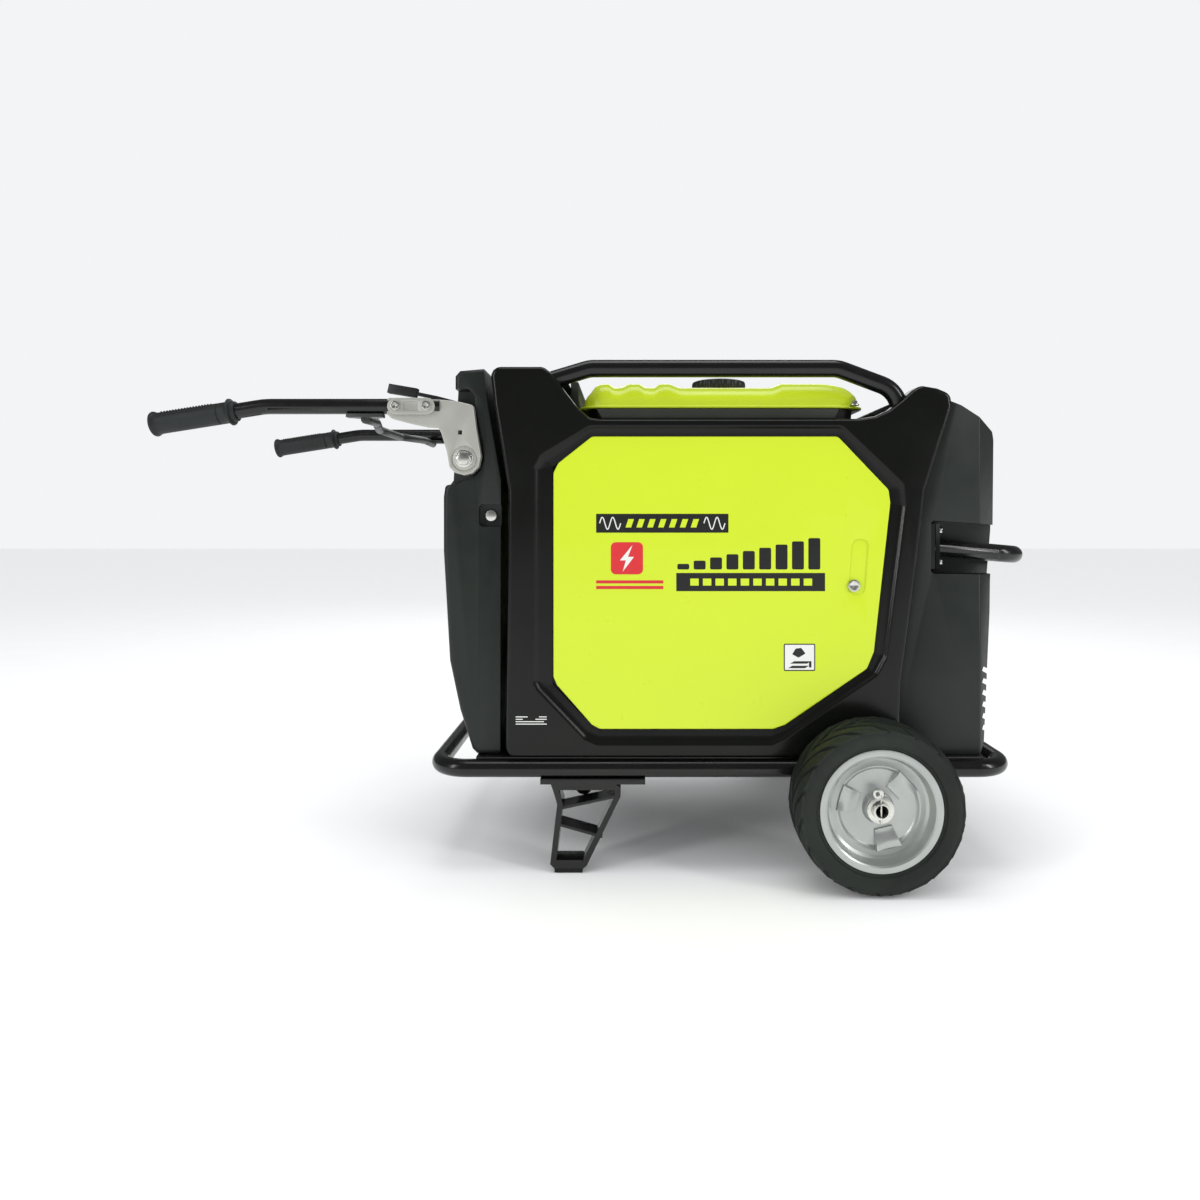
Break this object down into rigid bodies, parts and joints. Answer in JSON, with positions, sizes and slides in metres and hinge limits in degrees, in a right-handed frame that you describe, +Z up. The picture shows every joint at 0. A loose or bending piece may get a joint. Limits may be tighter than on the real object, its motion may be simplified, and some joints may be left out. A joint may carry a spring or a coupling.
{
  "type": "inverter generator",
  "caption": "Wheeled, enclosed petrol inverter generator on a tube frame, with fold-down carrying handles, a lime tank and side panels, and a control panel with outlets.",
  "frame": {"origin": "centre of the footprint on the ground, below the middle of the overall box", "axes": "+X along the machine from the handle and control end to the exhaust and wheel end, +Y across it from the service door to the starter side, +Z up"},
  "size_m": [1.2769, 0.632, 0.734],
  "materials": {
    "frame_black": "gloss black powder coat",
    "gloss_cover": "gloss black moulded plastic",
    "satin_cover": "fine-grained satin dark grey plastic",
    "lime_paint": "gloss lime paint",
    "trim_grey": "satin dark grey plastic",
    "cast_aluminium": "satin cast aluminium",
    "zinc_steel": "zinc-plated steel",
    "rubber": "black moulded rubber",
    "grip_rubber": "dark grey moulded rubber",
    "tyre_rubber": "solid black tyre rubber",
    "rim_grey": "grey painted pressed steel",
    "panel_grey": "satin grey control panel",
    "black_plastic": "black moulded plastic",
    "engine_alloy": "cast engine alloy",
    "copper_winding": "enamelled copper windings",
    "heat_steel": "heat-tinted steel",
    "iron": "machined iron",
    "brace_grey": "satin dark grey paint",
    "rope_cord": "braided starter rope",
    "red_plastic": "red moulded plastic"
  },
  "bodies": {
    "frame": {"base_loop": "frame_black", "cross_members": "frame_black", "top_rail_near": "frame_black", "top_rail_far": "frame_black", "rear_bar": "frame_black", "foot_near": "frame_black", "foot_far": "frame_black", "foot_pads": "rubber", "axle": "zinc_steel", "axle_brackets": "frame_black", "wheel_retainers": "zinc_steel", "pivot_bolts": "zinc_steel", "side_cover_near": "gloss_cover", "side_cover_far": "gloss_cover", "side_panel_far": "lime_paint", "front_cover": "satin_cover", "rear_cover": "satin_cover", "top_covers": "satin_cover", "top_trim": "trim_grey", "fasteners": "zinc_steel", "bottom_tray": "frame_black", "fuel_tank": "lime_paint", "control_panel": "panel_grey", "outlets": "black_plastic", "inverter_module": "engine_alloy", "battery": "black_plastic", "engine_block": "engine_alloy", "cylinder_head": "engine_alloy", "stator": "copper_winding", "fan_shroud": "black_plastic", "recoil_housing": "black_plastic", "muffler": "heat_steel", "air_filter_box": "black_plastic", "carburettor": "engine_alloy", "engine_mounts": "rubber", "door_hinge": "frame_black"},
    "handle": {"handle_bar_near": "frame_black", "handle_bar_far": "frame_black", "grip_near": "grip_rubber", "grip_far": "grip_rubber", "bracket_near": "cast_aluminium", "bracket_far": "cast_aluminium", "bracket_screws": "zinc_steel", "cross_brace": "brace_grey"},
    "latch": {"latch_lever": "black_plastic"},
    "wheel_near": {"tyre_near": "tyre_rubber", "rim_near": "rim_grey"},
    "wheel_far": {"tyre_far": "tyre_rubber", "rim_far": "rim_grey"},
    "door": {"service_door": "lime_paint"},
    "lock": {"door_lock": "zinc_steel"},
    "cap": {"fuel_cap": "black_plastic"},
    "crank": {"rotor": "iron"},
    "reel": {"recoil_reel": "black_plastic"},
    "starter_pull": {"starter_grip": "black_plastic", "starter_rope": "rope_cord"},
    "key_switch": {"engine_switch": "red_plastic"},
    "idle_switch": {"eco_switch": "black_plastic"},
    "breaker_bar": {"breaker": "black_plastic"},
    "outlet_lids": {"outlet_cover": "black_plastic"}
  },
  "joints": [
    {"name": "handle_fold", "type": "hinge", "parent": "frame", "child": "handle", "pos_m": [-0.187, 0, 0.5895], "axis": [0, 1, 0], "range_deg": [-85, 0]},
    {"name": "latch_lift", "type": "hinge", "parent": "handle", "child": "latch", "pos_m": [-0.2, -0.204, 0.655], "axis": [0, 1, 0], "range_deg": [0, 14], "stiffness_Nm_per_rad": 0.3, "springref_deg": -22.92},
    {"name": "wheel_near_spin", "type": "hinge", "parent": "frame", "child": "wheel_near", "pos_m": [0.385, -0.278, 0.1143], "axis": [0, 1, 0], "continuous": true},
    {"name": "wheel_far_spin", "type": "hinge", "parent": "frame", "child": "wheel_far", "pos_m": [0.385, 0.278, 0.1143], "axis": [0, 1, 0], "continuous": true},
    {"name": "door_swing", "type": "hinge", "parent": "frame", "child": "door", "pos_m": [-0.057, -0.222, 0.4], "axis": [0, 0, -1], "range_deg": [0, 95]},
    {"name": "lock_turn", "type": "hinge", "parent": "door", "child": "lock", "pos_m": [0.37, -0.222, 0.408], "axis": [0, 1, 0], "range_deg": [0, 90]},
    {"name": "cap_turn", "type": "hinge", "parent": "frame", "child": "cap", "pos_m": [0.194, -0.06, 0.71], "axis": [0, 0, 1], "range_deg": [0, 120]},
    {"name": "engine_spin", "type": "hinge", "parent": "frame", "child": "crank", "pos_m": [0.21, 0, 0.3], "axis": [0, 1, 0], "continuous": true},
    {"name": "starter_draw", "type": "slide", "parent": "frame", "child": "starter_pull", "axis": [0, 1, 0], "range_m": [0, 0.55], "stiffness_N_per_m": 40, "springref_m": -0.25},
    {"name": "reel_spin", "type": "hinge", "parent": "frame", "child": "reel", "pos_m": [0.21, 0.172, 0.3], "axis": [0, 1, 0], "range_deg": [0, 910]},
    {"name": "switch_turn", "type": "hinge", "parent": "frame", "child": "key_switch", "pos_m": [-0.205, -0.105, 0.48], "axis": [1, 0, 0], "range_deg": [0, 90]},
    {"name": "idle_rock", "type": "hinge", "parent": "frame", "child": "idle_switch", "pos_m": [-0.199, -0.048, 0.48], "axis": [0, 1, 0], "range_deg": [-8, 8]},
    {"name": "breaker_press", "type": "slide", "parent": "frame", "child": "breaker_bar", "axis": [1, 0, 0], "range_m": [0, 0.004], "stiffness_N_per_m": 400, "springref_m": -0.002},
    {"name": "lids_lift", "type": "hinge", "parent": "frame", "child": "outlet_lids", "pos_m": [-0.21, 0, 0.381], "axis": [0, 1, 0], "range_deg": [0, 100], "stiffness_Nm_per_rad": 0.03, "springref_deg": -17.19}
  ],
  "couplings": [
    {"joint": "reel_spin", "follows": "starter_draw", "rad_per_m": 28.571}
  ]
}
